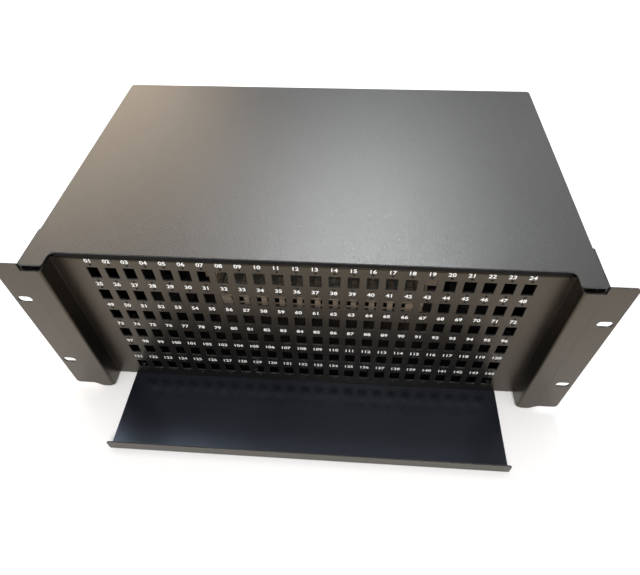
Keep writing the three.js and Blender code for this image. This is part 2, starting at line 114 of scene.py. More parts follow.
def make_lights():
    middle = (0, 0.05, 0.1)
    area_light("back_softbox", (0.08, 1.4, 2.0), middle, (0.7, 0.95), 32, (0.96, 0.99, 1.0))
    area_light("warm_back_left", (-1.4, 1.8, 1.0), middle, (1.5, 1.2), 18, (1.0, 0.8, 0.58))
    area_light("back_right", (1.5, 1.7, 1.1), middle, (1.4, 1.2), 3, (1.0, 0.99, 0.98))
    area_light("left_ceiling", (-1.0, 0.5, 1.75), (-0.18, -0.18, 0), (0.8, 0.8), 2, (0.8, 0.9, 1.0))
    area_light("front_fill", (0.12, -1.3, 1.35), middle, (0.6, 0.6), 22, (1.0, 0.98, 0.95), False)
    area_light("front_glint", (0.1, -1.2, 1.4), middle, (0.12, 0.12), 1.5, (1.0, 1.0, 1.0))
    area_light("overhead_softbox", (0, -0.3, 2.4), (0, -0.3, 0), (3.0, 2.4), 19, (1.0, 0.99, 0.98), False)
    world = bpy.data.worlds.new("studio")
    world.use_nodes = True
    background = world.node_tree.nodes["Background"]
    background.inputs["Color"].default_value = (0.95, 0.96, 1.0, 1)
    background.inputs["Strength"].default_value = 0.4
    bpy.context.scene.world = world
    bpy.context.scene.view_settings.view_transform = "Standard"


# ---------------------------------------------------------------- materials

def new_material(name):
    """A material with a principled shader. Returns the material, the shader and the node tree."""
    material = bpy.data.materials.new(name)
    material.use_nodes = True
    tree = material.node_tree
    return material, tree.nodes["Principled BSDF"], tree


def add_noise(tree, scale, detail=2.0, roughness=0.5):
    """A noise pattern in the piece's own coordinates, scale in features per metre."""
    place = tree.nodes.new("ShaderNodeTexCoord")
    noise = tree.nodes.new("ShaderNodeTexNoise")
    noise.inputs["Scale"].default_value = scale
    noise.inputs["Detail"].default_value = detail
    noise.inputs["Roughness"].default_value = roughness
    tree.links.new(place.outputs["Object"], noise.inputs["Vector"])
    return noise.outputs["Fac"]


def paint(tree, shader, factor, dark, light, low=0.3, high=0.7):
    """Colours the surface with a blend between two colours, by a factor."""
    ramp = tree.nodes.new("ShaderNodeValToRGB")
    ramp.color_ramp.elements[0].position = low
    ramp.color_ramp.elements[0].color = (*dark, 1)
    ramp.color_ramp.elements[1].position = high
    ramp.color_ramp.elements[1].color = (*light, 1)
    tree.links.new(factor, ramp.inputs["Fac"])
    tree.links.new(ramp.outputs["Color"], shader.inputs["Base Color"])


def vary_roughness(tree, shader, factor, low, high):
    """Spreads the roughness from low to high, by a factor from 0 to 1."""
    spread = tree.nodes.new("ShaderNodeMapRange")
    spread.inputs["To Min"].default_value = low
    spread.inputs["To Max"].default_value = high
    tree.links.new(factor, spread.inputs["Value"])
    tree.links.new(spread.outputs["Result"], shader.inputs["Roughness"])


def add_bump(tree, shader, height, distance, strength=1.0, before=None):
    """Bumps the surface by a height pattern, on top of an earlier bump if there is one."""
    bump = tree.nodes.new("ShaderNodeBump")
    bump.inputs["Distance"].default_value = distance
    bump.inputs["Strength"].default_value = strength
    tree.links.new(height, bump.inputs["Height"])
    if before:
        tree.links.new(before, bump.inputs["Normal"])
    tree.links.new(bump.outputs["Normal"], shader.inputs["Normal"])
    return bump.outputs["Normal"]


def powder_coat(name, dark, light, roughness, grain, sheen, gloss=1.5):
    """Satin powder coat: a fine orange-peel grain, faint clouding, and a little uneven gloss.
    sheen tints what it reflects, and gloss is its index of refraction."""
    material, shader, tree = new_material(name)
    clouds = add_noise(tree, 9.0, detail=3.0)
    paint(tree, shader, clouds, dark, light)
    speckle = add_noise(tree, 500.0, detail=4.0, roughness=0.65)
    vary_roughness(tree, shader, speckle, roughness - 0.1, roughness + 0.1)
    peel = add_bump(tree, shader, add_noise(tree, 1200.0, detail=1.0), 0.13 * MM, grain)
    add_bump(tree, shader, add_noise(tree, 2300.0, detail=2.0), 0.12 * MM, grain, before=peel)
    shader.inputs["Specular IOR Level"].default_value = 1.0
    shader.inputs["Specular Tint"].default_value = (*sheen, 1)
    shader.inputs["IOR"].default_value = gloss
    return material


def worn_edge(name):
    """The cut rim of a painted sheet, where the coat is thin and lightly rubbed."""
    material, shader, tree = new_material(name)
    rub = add_noise(tree, 260.0, detail=4.0, roughness=0.7)
    paint(tree, shader, rub, (0.02, 0.02, 0.02), (0.09, 0.085, 0.08), low=0.45, high=0.75)
    shader.inputs["Roughness"].default_value = 0.38
    return material


def zinc_plate(name, tint):
    """Bright zinc plating: metal with faint grain and patchy gloss."""
    material, shader, tree = new_material(name)
    patch = add_noise(tree, 420.0, detail=3.0)
    darker = tuple(0.78 * c for c in tint)
    paint(tree, shader, patch, darker, tint)
    vary_roughness(tree, shader, add_noise(tree, 900.0), 0.2, 0.42)
    shader.inputs["Metallic"].default_value = 1.0
    add_bump(tree, shader, add_noise(tree, 3000.0), 0.01 * MM, 0.5)
    return material


def black_zinc(name):
    """A black passivated screw: dark, slightly metallic and rubbed on its high spots."""
    material, shader, tree = new_material(name)
    patch = add_noise(tree, 700.0, detail=4.0, roughness=0.7)
    paint(tree, shader, patch, (0.012, 0.012, 0.013), (0.06, 0.06, 0.062), low=0.4, high=0.8)
    shader.inputs["Metallic"].default_value = 0.7
    vary_roughness(tree, shader, patch, 0.28, 0.46)
    return material


def moulded_plastic(name, dark, light, roughness, grain):
    """Injection-moulded plastic with a fine spark-eroded texture."""
    material, shader, tree = new_material(name)
    paint(tree, shader, add_noise(tree, 26.0, detail=3.0), dark, light)
    gloss = add_noise(tree, 60.0, detail=2.0)
    vary_roughness(tree, shader, gloss, roughness - 0.06, roughness + 0.06)
    add_bump(tree, shader, add_noise(tree, 1600.0, detail=2.0), 0.03 * MM, grain)
    return material


def milky_lid(name):
    """Thin translucent plastic."""
    material, shader, tree = new_material(name)
    paint(tree, shader, add_noise(tree, 18.0, detail=2.0), (0.7, 0.67, 0.58), (0.82, 0.79, 0.7))
    shader.inputs["Roughness"].default_value = 0.18
    shader.inputs["Transmission Weight"].default_value = 0.88
    add_bump(tree, shader, add_noise(tree, 40.0), 0.1 * MM, 0.25)
    return material


def print_ink(name):
    """Screen-printed white ink, slightly uneven."""
    material, shader, tree = new_material(name)
    paint(tree, shader, add_noise(tree, 1500.0, detail=3.0), (0.62, 0.62, 0.6), (0.86, 0.86, 0.84))
    shader.inputs["Roughness"].default_value = 0.55
    return material


# ---------------------------------------------------------------- mesh helpers

def finish_piece(name, bm, materials, body, replaces=(), smooth_angle=32):
    """Turns a bmesh into a piece that rides on a body."""
    bmesh.ops.remove_doubles(bm, verts=bm.verts, dist=1e-7)
    bmesh.ops.recalc_face_normals(bm, faces=bm.faces)
    mesh = bpy.data.meshes.new(name)
    bm.to_mesh(mesh)
    bm.free()
    mesh.shade_smooth()
    mesh.set_sharp_from_angle(angle=math.radians(smooth_angle))
    for material in materials:
        mesh.materials.append(material)
    piece = add_object(name, mesh)
    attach(piece, body)
    if replaces:
        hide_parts(*replaces)


def path(*places):
    """Outline points at the given (x, y) places."""
    return [Vector(place) for place in places]


def rectangle(left, right, bottom, top, radius=0.0, steps=4):
    """A closed anticlockwise outline, with rounded corners if radius is given."""
    if radius <= 0:
        return path((left, bottom), (right, bottom), (right, top), (left, top))
    points = []
    centres = [(right - radius, bottom + radius), (right - radius, top - radius),
               (left + radius, top - radius), (left + radius, bottom + radius)]
    for corner, (x, y) in enumerate(centres):
        points += arc(x, y, radius, (corner - 1) * RIGHT_ANGLE, corner * RIGHT_ANGLE, steps)
    return points


def arc(x, y, radius, start, end, steps):
    """Points on an arc, both ends included."""
    angles = [start + (end - start) * i / steps for i in range(steps + 1)]
    return [Vector((x + radius * math.cos(a), y + radius * math.sin(a))) for a in angles]


def circle(x, y, radius, steps=16):
    return arc(x, y, radius, 0, 2 * math.pi, steps)[:-1]


def inset(points, distance):
    """Moves a closed anticlockwise outline inwards, or outwards if distance is negative."""
    moved = []
    for i, point in enumerate(points):
        before = (point - points[i - 1]).normalized()
        after = (points[(i + 1) % len(points)] - point).normalized()
        normal_before = Vector((-before.y, before.x))
        normal_after = Vector((-after.y, after.x))
        bisector = (normal_before + normal_after).normalized()
        reach = distance / max(0.3, bisector.dot(normal_after))
        moved.append(point + bisector * reach)
    return moved


class Sheet:
    """A flat sheet with holes, lying in X and Y with its thickness along Z, that can then be folded.
    rim is the size of the chamfer along its edges, and edge_slot the material slot of the edges."""

    def __init__(self, outline, holes, thickness, rim=0.18 * MM, edge_slot=1):
        self.bm = bmesh.new()
        self.thickness = thickness
        faces_at = {0: [], thickness: []}
        for loop, grow in [(outline, rim)] + [(hole, -rim) for hole in holes]:
            tight = inset(loop, grow)
            rings = [
                self._ring(tight, 0),
                self._ring(loop, rim),
                self._ring(loop, thickness - rim),
                self._ring(tight, thickness),
            ]
            for low, high in zip(rings, rings[1:]):
                self._wall(low, high, edge_slot)
            faces_at[0].append((tight, rings[0]))
            faces_at[thickness].append((tight, rings[3]))
        for loops in faces_at.values():
            self._fill(loops)

    def _ring(self, points, height):
        return [self.bm.verts.new((p.x, p.y, height)) for p in points]

    def _wall(self, low, high, material):
        for i in range(len(low)):
            j = (i + 1) % len(low)
            self.bm.faces.new((low[i], low[j], high[j], high[i])).material_index = material

    def _fill(self, loops):
        """Fills between the outline, which is the first loop, and the holes, which have no hollows."""
        points, verts, owners, edges = [], [], [], []
        for owner, (loop, ring) in enumerate(loops):
            first = len(points)
            edges += [(first + i, first + (i + 1) % len(loop)) for i in range(len(loop))]
            owners += [owner] * len(loop)
            points += loop
            verts += ring
        inside_the_outline = 1
        made = geometry.delaunay_2d_cdt(points, edges, [], inside_the_outline, 1e-9)
        sources = [origin[0] for origin in made[3]]
        for triangle in made[2]:
            corners = [sources[i] for i in triangle]
            touched = {owners[i] for i in corners}
            if touched == {0} or len(touched) > 1:
                self.bm.faces.new([verts[i] for i in corners])

    def cut(self, axis, place):
        """Adds a line of vertices across the sheet."""
        normal = (1, 0, 0) if axis == 0 else (0, 1, 0)
        point = tuple(place * c for c in normal)
        everything = list(self.bm.verts) + list(self.bm.edges) + list(self.bm.faces)
        bmesh.ops.bisect_plane(self.bm, geom=everything, dist=1e-7, plane_co=point, plane_no=normal)

    def fold(self, bends, steps=6):
        """Folds the sheet along straight lines. Each bend is (axis, start, way, turn, radius, where):
        the bend starts at that place on the axis and runs the given way (1 or -1), turning towards +Z
        if turn is positive. radius is the inside radius, and where(x, y) picks the part that it moves.
        The bends furthest from the middle come first."""
        shares = [i / steps for i in range(steps + 1)]
        edge = 0.25 * MM
        for axis, start, way, turn, radius, _ in bends:
            length = abs(turn) * (radius + self.thickness / 2)
            for place in [start - way * edge] + [start + way * length * s for s in shares]:
                self.cut(axis, place)
            self.cut(axis, start + way * (length + edge))
        flat = {v: v.co.copy() for v in self.bm.verts}
        for axis, start, way, turn, radius, where in bends:
            for v, place in flat.items():
                along = (place[axis] - start) * way
                if along > 0 and where(place.x, place.y):
                    v.co = self._bent(v.co, axis, start, way, turn, radius)

    def _bent(self, point, axis, start, way, turn, radius):
        middle = self.thickness / 2
        neutral = radius + middle
        length = abs(turn) * neutral
        along = (point[axis] - start) * way
        side = 1 if turn > 0 else -1
        arm = neutral - side * (point.z - middle)
        angle = min(along, length) / neutral
        rest = max(0.0, along - length)
        out = arm * math.sin(angle) + rest * math.cos(angle)
        up = neutral - arm * math.cos(angle) + rest * math.sin(angle)
        moved = point.copy()
        moved[axis] = start + way * out
        moved.z = middle + side * up
        return moved

    def move(self, matrix):
        move(self.bm, matrix)


def move(bm, matrix):
    bmesh.ops.transform(bm, matrix=matrix, verts=bm.verts)


def bend_length(thickness, radius):
    """The flat length that a right-angle bend takes up."""
    return RIGHT_ANGLE * (radius + thickness / 2)


# where a sheet's own X, Y and thickness run
RIGHT_UP_BACK = (1, 0, 0), (0, 0, 1), (0, 1, 0)
RIGHT_UP_FORWARD = (1, 0, 0), (0, 0, 1), (0, -1, 0)
BACK_UP_RIGHT = (0, 1, 0), (0, 0, 1), (1, 0, 0)


def frame_matrix(origin, x_axis, y_axis, z_axis):
    """Carries local X, Y and Z to the given directions and the local origin to the given point."""
    matrix = Matrix((x_axis, y_axis, z_axis)).transposed().to_4x4()
    matrix.translation = origin
    return matrix


def revolve(bm, profile, steps=32, shape=lambda angle, index: 1.0, material=0):
    """Turns [radius, height] points about Z. A profile that doesn't start and end on the axis is closed."""
    rings = []
    for index, (radius, height) in enumerate(profile):
        if radius < 1e-9:
            rings.append([bm.verts.new((0, 0, height))])
            continue
        ring = []
        for step in range(steps):
            angle = 2 * math.pi * step / steps
            reach = radius * shape(angle, index)
            ring.append(bm.verts.new((reach * math.cos(angle), reach * math.sin(angle), height)))
        rings.append(ring)
    pairs = list(zip(rings, rings[1:]))
    if len(rings[0]) > 1:
        pairs.append((rings[-1], rings[0]))
    for low, high in pairs:
        for step in range(steps):
            after = (step + 1) % steps
            corners = [low[step % len(low)], low[after % len(low)],
                       high[after % len(high)], high[step % len(high)]]
            unique = list(dict.fromkeys(corners))
            if len(unique) > 2:
                bm.faces.new(unique).material_index = material


def merge(bm, other):
    """Adds another mesh's shells to a mesh."""
    mesh = bpy.data.meshes.new("merge")
    other.to_mesh(mesh)
    other.free()
    bm.from_mesh(mesh)
    bpy.data.meshes.remove(mesh)


def add_block(bm, low, high, rounding=0.3 * MM, steps=2):
    """A box between two corners with rounded edges."""
    made = bmesh.ops.create_cube(bm, size=1.0)["verts"]
    centre = (Vector(low) + Vector(high)) / 2
    size = Vector(high) - Vector(low)
    for v in made:
        v.co = Vector((v.co.x * size.x, v.co.y * size.y, v.co.z * size.z)) + centre
    # a set would hand these over in another order on each run
    edges = list(dict.fromkeys(e for v in made for e in v.link_edges))
    bmesh.ops.bevel(bm, geom=edges, offset=rounding, segments=steps, affect="EDGES", profile=0.5)


def carved(piece_bm, cutter_bm):
    """The first mesh with the second cut out of it."""
    objects = []
    for name, bm in (("carve_body", piece_bm), ("carve_tool", cutter_bm)):
        bmesh.ops.recalc_face_normals(bm, faces=bm.faces)
        mesh = bpy.data.meshes.new(name)
        bm.to_mesh(mesh)
        bm.free()
        objects.append(add_object(name, mesh))
    body, tool = objects
    cut = body.modifiers.new("cut", "BOOLEAN")
    cut.operation = "DIFFERENCE"
    cut.solver = "EXACT"
    cut.object = tool
    bpy.context.view_layer.update()
    depsgraph = bpy.context.evaluated_depsgraph_get()
    result = bmesh.new()
    result.from_mesh(body.evaluated_get(depsgraph).to_mesh())
    for obj in objects:
        bpy.data.objects.remove(obj)
    return result


def towards(direction, top):
    """Carries local +Z to a direction and the local origin to a point."""
    matrix = Vector(direction).to_track_quat("Z", "Y").to_matrix().to_4x4()
    matrix.translation = top
    return matrix


def node_top(node, direction):
    """The middle of a CAD node's end face in a direction along an axis."""
    low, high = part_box(node)
    top = (low + high) / 2
    for axis in range(3):
        if direction[axis] > 0:
            top[axis] = high[axis]
        if direction[axis] < 0:
            top[axis] = low[axis]
    return top


# ---------------------------------------------------------------- sizes shared by several pieces

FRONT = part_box("front_panel")[0].y
PANEL_SHEET = 1.5 * MM
BODY_SHEET = 1.2 * MM
RECESS = 16.5 * MM
WEB_INNER = 203.5 * MM
FLOOR_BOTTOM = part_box("base_pan")[0].z
WALL_OUTER = 219.5 * MM
EAR_INNER = 219.61 * MM
SEAM = 219.6 * MM
STEP_REACH = 5.5 * MM
STEP_LOW = 1.2 * MM
STEP_HIGH = 6.3 * MM
SCREW_HOLE = 2.1 * MM
EAR_SCREWS = (32 * MM, 94.8 * MM, 157.8 * MM)
COVER_SCREWS = (110 * MM, 230 * MM)
COVER_SCREW_HEIGHT = 175.8 * MM
COVER_UNDER = 181.6 * MM
COVER_FLANGE_TOP = 181.7 * MM
FLOOR_TOP = 4.2 * MM
GLAND_HEIGHT = 34 * MM
GLANDS = (-170 * MM, -130 * MM, 130 * MM, 170 * MM)

PORT_COLUMNS = 24
PORT_ROWS = 6
PORT_PITCH = (15.05 * MM, 27.6 * MM)
PORT_SIZE = (9.5 * MM, 13.2 * MM)
TOP_ROW = 158.8 * MM


def port_places():
    """Number and middle of each port, counted from the top left."""
    for row in range(PORT_ROWS):
        for column in range(PORT_COLUMNS):
            x = (column - (PORT_COLUMNS - 1) / 2) * PORT_PITCH[0]
            yield row * PORT_COLUMNS + column + 1, x, TOP_ROW - row * PORT_PITCH[1]


def step_height(x):
    """The bottom edge's height beside the seam between the panel and an ear."""
    share = min(1.0, max(0.0, (x - SEAM + STEP_REACH) / (2 * STEP_REACH)))
    return STEP_LOW + (STEP_HIGH - STEP_LOW) * share * share * (3 - 2 * share)


def step_edge(start, end, steps=8):
    places = [start + (end - start) * i / steps for i in range(steps + 1)]
    return [Vector((x, step_height(x))) for x in places]


def mirrored(points):
    """An outline reflected in x, still anticlockwise."""
    return [Vector((-p.x, p.y)) for p in reversed(points)]


# ---------------------------------------------------------------- front panel

def make_front_panel(coat, edge):
    thickness = PANEL_SHEET
    radius = 1.0 * MM
    bend = bend_length(thickness, radius)
    inner_radius = 0.3 * MM
    inner_bend = bend_length(thickness, inner_radius)
    face_end = WEB_INNER - inner_radius
    web_end = face_end + inner_bend + RECESS - thickness - inner_radius - radius
    flange_start = web_end + bend
    flange_reach = SEAM - 0.01 * MM - WEB_INNER - thickness - radius
    flange_end = flange_start + flange_reach
    unfolded = flange_end - SEAM
    bottom = STEP_LOW
    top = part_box("front_panel")[1].z
    return_start = top - thickness - radius
    return_end = return_start + bend + 11 * MM
    return_half = 199 * MM
    notch = 1.2 * MM
    corner = 3.0 * MM

    outline = path((face_end - 1 * MM, FLOOR_BOTTOM), (web_end, FLOOR_BOTTOM))
    outline += arc(flange_start + corner, bottom + corner, corner, math.pi, 1.5 * math.pi, 6)[2:]
    outline += [p + Vector((unfolded, 0)) for p in step_edge(SEAM - STEP_REACH, SEAM)]
    notch_bottom = return_start - notch
    outline += path((flange_end, top), (return_half + notch, top), (return_half + notch, notch_bottom),
                    (return_half, notch_bottom), (return_half, return_end))

    holes = []
    screw_drop = 9.5 * MM
    half_wide, half_high = PORT_SIZE[0] / 2, PORT_SIZE[1] / 2
    for _, x, z in port_places():
        holes.append(rectangle(x - half_wide, x + half_wide, z - half_high, z + half_high, 0.35 * MM, 2))
        holes.append(circle(x, z + screw_drop, 1.1 * MM, 12))
        holes.append(circle(x, z - screw_drop, 1.1 * MM, 12))

    sheet = Sheet(outline + mirrored(outline), holes, thickness, rim=0.07 * MM)
    bends = []
    for way in (-1, 1):
        bends.append((0, way * web_end, way, RIGHT_ANGLE, radius, lambda x, y: True))
        bends.append((0, way * face_end, way, -RIGHT_ANGLE, inner_radius, lambda x, y: True))
    bends.append((1, return_start, 1, RIGHT_ANGLE, radius, lambda x, y: abs(x) < return_half + 0.1 * MM))
    sheet.fold(bends)
    sheet.move(frame_matrix((0, FRONT + RECESS, 0), *RIGHT_UP_BACK))
    bottom_flange(sheet.bm)
    finish_piece("front_panel_sheet", sheet.bm, [coat, edge], "housing", ["front_panel"])


def bottom_flange(bm):
    """The inner flange that the panel's screws go through."""
    holes = [circle(x, 26 * MM, SCREW_HOLE) for x in (-180 * MM, -60 * MM, 60 * MM, 180 * MM)]
    flange = Sheet(rectangle(-199 * MM, 199 * MM, 17.2 * MM, 34 * MM, 1.5 * MM), holes, PANEL_SHEET)
    flange.move(Matrix.Translation((0, FRONT, FLOOR_TOP)))
    merge(bm, flange.bm)


def make_port_numbers(ink):
    """Screen-printed port numbers, one above each port."""
    bm = bmesh.new()
    thickness = 0.02 * MM
    above = 13.8 * MM
    for number, x, z in port_places():
        curve = bpy.data.curves.new("number", "FONT")
        curve.body = f"{number:02d}"
        curve.align_x = "CENTER"
        curve.align_y = "CENTER"
        curve.size = 5.6 * MM
        curve.offset = 0.12 * MM
        curve.extrude = thickness
        curve.resolution_u = 3
        text = bpy.data.objects.new("number", curve)
        mesh = bpy.data.meshes.new_from_object(text)
        place = Vector((x - 0.6 * MM, FRONT + RECESS - thickness, z + above))
        mesh.transform(frame_matrix(place, (1.1, 0, 0), (0, 0, 1), (0, -1, 0)))
        bm.from_mesh(mesh)
        bpy.data.objects.remove(text)
        bpy.data.curves.remove(curve)
        bpy.data.meshes.remove(mesh)
    finish_piece("port_numbers", bm, [ink], "housing")


# ---------------------------------------------------------------- base pan

def make_base_pan(coat, edge):
    """Floor, side walls and rear wall, folded from one sheet."""
    thickness = BODY_SHEET
    radius = 1.2 * MM
    side_start = WALL_OUTER - thickness - radius
    rear_start = 280 * MM - thickness - radius
    bend = bend_length(thickness, radius)
    rise = 181.3 * MM - FLOOR_BOTTOM - thickness - radius
    side_end = side_start + bend + rise
    rear_end = rear_start + bend + rise
    rear_half = WALL_OUTER - 0.1 * MM
    wall_rear = 278.6 * MM
    front = 1.8 * MM
    relief = 0.6 * MM
    panel_room = (205.4 * MM, 18.4 * MM)

    def up_side(height):
        return side_start + bend + height - FLOOR_BOTTOM - thickness - radius

    def up_rear(height):
        return rear_start + bend + height - FLOOR_BOTTOM - thickness - radius

    outline = path((panel_room[0], front), (side_end, front))
    for place in COVER_SCREWS:
        outline += notch_down(place, up_side(COVER_SCREW_HEIGHT), side_end)
    outline += path((side_end, wall_rear), (side_start + bend, wall_rear),
                    (side_start + bend, rear_start - relief), (side_start, rear_start - relief),
                    (side_start, rear_start + bend), (rear_half, rear_start + bend), (rear_half, rear_end))
    for point in reversed(notch_down(150 * MM, up_rear(COVER_SCREW_HEIGHT), rear_end)):
        outline.append(Vector((point.y, point.x)))
    left = mirrored(outline)
    outline += left + path((-panel_room[0], panel_room[1]), panel_room)

    holes = []
    for side in (-1, 1):
        holes += [circle(side * up_side(height), 28 * MM, SCREW_HOLE) for height in EAR_SCREWS]
        holes += [circle(side * 212 * MM, depth, SCREW_HOLE) for depth in (40 * MM, 90 * MM)]
    holes += [circle(x, 26 * MM, SCREW_HOLE) for x in (-180 * MM, -60 * MM, 60 * MM, 180 * MM)]
    holes += [circle(x, up_rear(GLAND_HEIGHT), 10.3 * MM, 32) for x in GLANDS]
    holes += [circle(0, up_rear(22 * MM), 3.2 * MM)]

    sheet = Sheet(outline, holes, thickness)
    on_side = lambda x, y: y < wall_rear + 0.1 * MM
    on_rear = lambda x, y: abs(x) < rear_half + 0.1 * MM
    bends = [(0, way * side_start, way, RIGHT_ANGLE, radius, on_side) for way in (-1, 1)]
    bends.append((1, rear_start, 1, RIGHT_ANGLE, radius, on_rear))
    sheet.fold(bends)
    sheet.move(Matrix.Translation((0, FRONT, FLOOR_BOTTOM)))
    finish_piece("base_pan_sheet", sheet.bm, [coat, edge], "housing", ["base_pan"])


def notch_down(middle, depth, edge):
    """A round-bottomed notch in a wall's top edge, for a cover screw, listed as (edge, along) points."""
    half = SCREW_HOLE
    bottom = [Vector((depth - half * math.sin(a), middle - half * math.cos(a)))
              for a in [math.pi * i / 8 for i in range(9)]]
    return [Vector((edge, middle - half))] + bottom + [Vector((edge, middle + half))]


# ---------------------------------------------------------------- top cover

def make_top_cover(coat, edge, foam_and_painted_shade):
    half = 218.9 * MM
    tab = 200 * MM
    rear = 280 * MM
    outline = arc(tab + 2 * MM, 2.5 * MM, 2 * MM, math.pi, 1.5 * math.pi, 4)
    outline += arc(half - 2 * MM, 2.5 * MM, 2 * MM, -RIGHT_ANGLE, 0, 4)
    outline += arc(half - 3.5 * MM, rear - 3.5 * MM, 3.5 * MM, 0, RIGHT_ANGLE, 5)
    inner = arc(tab - 4.5 * MM, 10.5 * MM, 4.5 * MM, RIGHT_ANGLE, 0, 6)
    outline = inner + outline
    sheet = Sheet(outline + mirrored(outline), [], BODY_SHEET, rim=0.3 * MM)
    sheet.move(Matrix.Translation((0, FRONT, COVER_UNDER)))
    cover_flanges(sheet.bm)
    finish_piece("top_cover_sheet", sheet.bm, [coat, edge, foam_and_painted_shade], "cover", ["top_cover"])


def cover_flanges(bm):
    """The flanges that hang inside the walls and take the cover's screws, and a short one at the front,
    faced with flat black as painted shade, so the gap under the cover's front edge reads as a dark band."""
    drop = 10.9 * MM
    front = Sheet(rectangle(-199 * MM, 199 * MM, -4.8 * MM, 0), [], BODY_SHEET)
    # painted shade: the front flange is flat black, standing in for the shadow in the gap under the cover's
    # front edge
    for face in front.bm.faces:
        face.material_index = 2
    front.move(frame_matrix((0, FRONT + 17.6 * MM, COVER_FLANGE_TOP), *RIGHT_UP_FORWARD))
    merge(bm, front.bm)
    for side in (-1, 1):
        holes = [circle(y, -6 * MM, SCREW_HOLE) for y in COVER_SCREWS]
        flange = Sheet(rectangle(8 * MM, 270 * MM, -drop, 0), holes, BODY_SHEET)
        inner = min(side * 216.8 * MM, side * 218 * MM)
        flange.move(frame_matrix((inner, FRONT, COVER_FLANGE_TOP), *BACK_UP_RIGHT))
        merge(bm, flange.bm)
    holes = [circle(side * 150 * MM, -6 * MM, SCREW_HOLE) for side in (-1, 1)]
    flange = Sheet(rectangle(-210 * MM, 210 * MM, -drop, 0), holes, BODY_SHEET)
    flange.move(frame_matrix((0, FRONT + 278.5 * MM, COVER_FLANGE_TOP), *RIGHT_UP_FORWARD))
    merge(bm, flange.bm)


# ---------------------------------------------------------------- rack ears

def make_ears(coat, edge):
    outer = 241.3 * MM
    top = 183.3 * MM
    corner = 3.5 * MM
    slot_half = (6 * MM, 3.5 * MM)
    for name, side in SIDES:
        outline = step_edge(EAR_INNER, SEAM + STEP_REACH)
        outline += arc(outer - corner, STEP_HIGH + corner, corner, -RIGHT_ANGLE, 0, 5)
        outline += arc(outer - corner, top - corner, corner, 0, RIGHT_ANGLE, 5) + [Vector((EAR_INNER, top))]
        holes = []
        for middle in (48.8 * MM, 140.8 * MM):
            holes.append(rectangle(232.5 * MM - slot_half[0], 232.5 * MM + slot_half[0],
                                   middle - slot_half[1], middle + slot_half[1], slot_half[1], 8))
        if side < 0:
            outline, holes = mirrored(outline), [mirrored(hole) for hole in holes]
        flange = Sheet(outline, holes, PANEL_SHEET, rim=0.07 * MM)
        flange.move(frame_matrix((0, FRONT, 0), *RIGHT_UP_BACK))
        merge(flange.bm, ear_leg(side))
        finish_piece(f"rack_ear_{name}_sheet", flange.bm, [coat, edge], "housing",
                     [f"rack_ear_{name}"])


def ear_leg(side):
    """The part of an ear that runs back along the side wall, with its three screw holes."""
    outline = rectangle(0.3 * MM, 43 * MM, 8.3 * MM, 181.3 * MM, 1.2 * MM)
    holes = [circle(28 * MM, height, SCREW_HOLE) for height in EAR_SCREWS]
    leg = Sheet(outline, holes, PANEL_SHEET)
    inner = min(side * 219.8 * MM, side * 221.3 * MM)
    leg.move(frame_matrix((inner, FRONT, 0), *BACK_UP_RIGHT))
    return leg.bm


# ---------------------------------------------------------------- cable tray

def make_cable_tray(coat, edge, lip_warm_reflection_coat):
    half = 185.1 * MM
    front = -65.8 * MM
    radius = 0.8 * MM
    fold_start = front + BODY_SHEET + radius
    lip = 15.5 * MM - 1.2 * MM - BODY_SHEET - radius
    lip_end = fold_start - bend_length(BODY_SHEET, radius) - lip
    outline = arc(half - 3 * MM, lip_end + 3 * MM, 3 * MM, -RIGHT_ANGLE, 0, 5)
    outline += arc(half - 1.5 * MM, 82.5 * MM, 1.5 * MM, 0, RIGHT_ANGLE, 3)
    sheet = Sheet(outline + mirrored(outline), [], BODY_SHEET, rim=0.15 * MM)
    sheet.fold([(1, fold_start, -1, RIGHT_ANGLE, radius, lambda x, y: True)])
    sheet.move(Matrix.Translation((0, FRONT, 1.2 * MM)))
    # painted reflection: the lip's faces take the warmer front coat, though the lip is the same paint as the
    # tray, so it reads as lit by the warm floor
    lip_start = 2.6 * MM
    for face in sheet.bm.faces:
        if face.calc_center_median().z > lip_start and face.material_index == 0:
            face.material_index = 2
    finish_piece("cable_tray_sheet", sheet.bm, [coat, edge, lip_warm_reflection_coat], "cable_tray",
                 ["cable_tray"])


# ---------------------------------------------------------------- screws and nuts

def length_and_radius(node, outward):
    """A screw's or nut's length along the way it points, and the most that it reaches across."""
    low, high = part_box(node)
    size = high - low
    along = max(range(3), key=lambda axis: abs(outward[axis]))
    return size[along], max(size[axis] for axis in range(3) if axis != along) / 2


def cross_cutter(reach, width, depth):
    """A tapered cross-shaped plug, standing in the origin's plane."""
    half = width / 2
    outline = []
    for quarter in range(4):
        turn = Matrix.Rotation(quarter * RIGHT_ANGLE, 2)
        outline += [turn @ Vector(p) for p in ((reach, -half), (reach, half), (half, half))]
    bm = bmesh.new()
    top = [bm.verts.new((p.x, p.y, 0.2 * MM)) for p in outline]
    bottom = [bm.verts.new((p.x * 0.5, p.y * 0.5, -depth)) for p in outline]
    for i in range(len(outline)):
        j = (i + 1) % len(outline)
        bm.faces.new((bottom[i], bottom[j], top[j], top[i]))
    bm.faces.new(top)
    bm.faces.new(list(reversed(bottom)))
    return bm


def thread(radius, start, end, pitch=0.7 * MM):
    """A zigzag profile that runs from one height down to another."""
    turns = max(1, int(abs(start - end) / pitch))
    step = (end - start) / turns
    points = []
    for i in range(turns):
        points += [(radius, start + i * step), (radius - 0.3 * MM, start + (i + 0.5) * step)]
    return points + [(radius, end)]


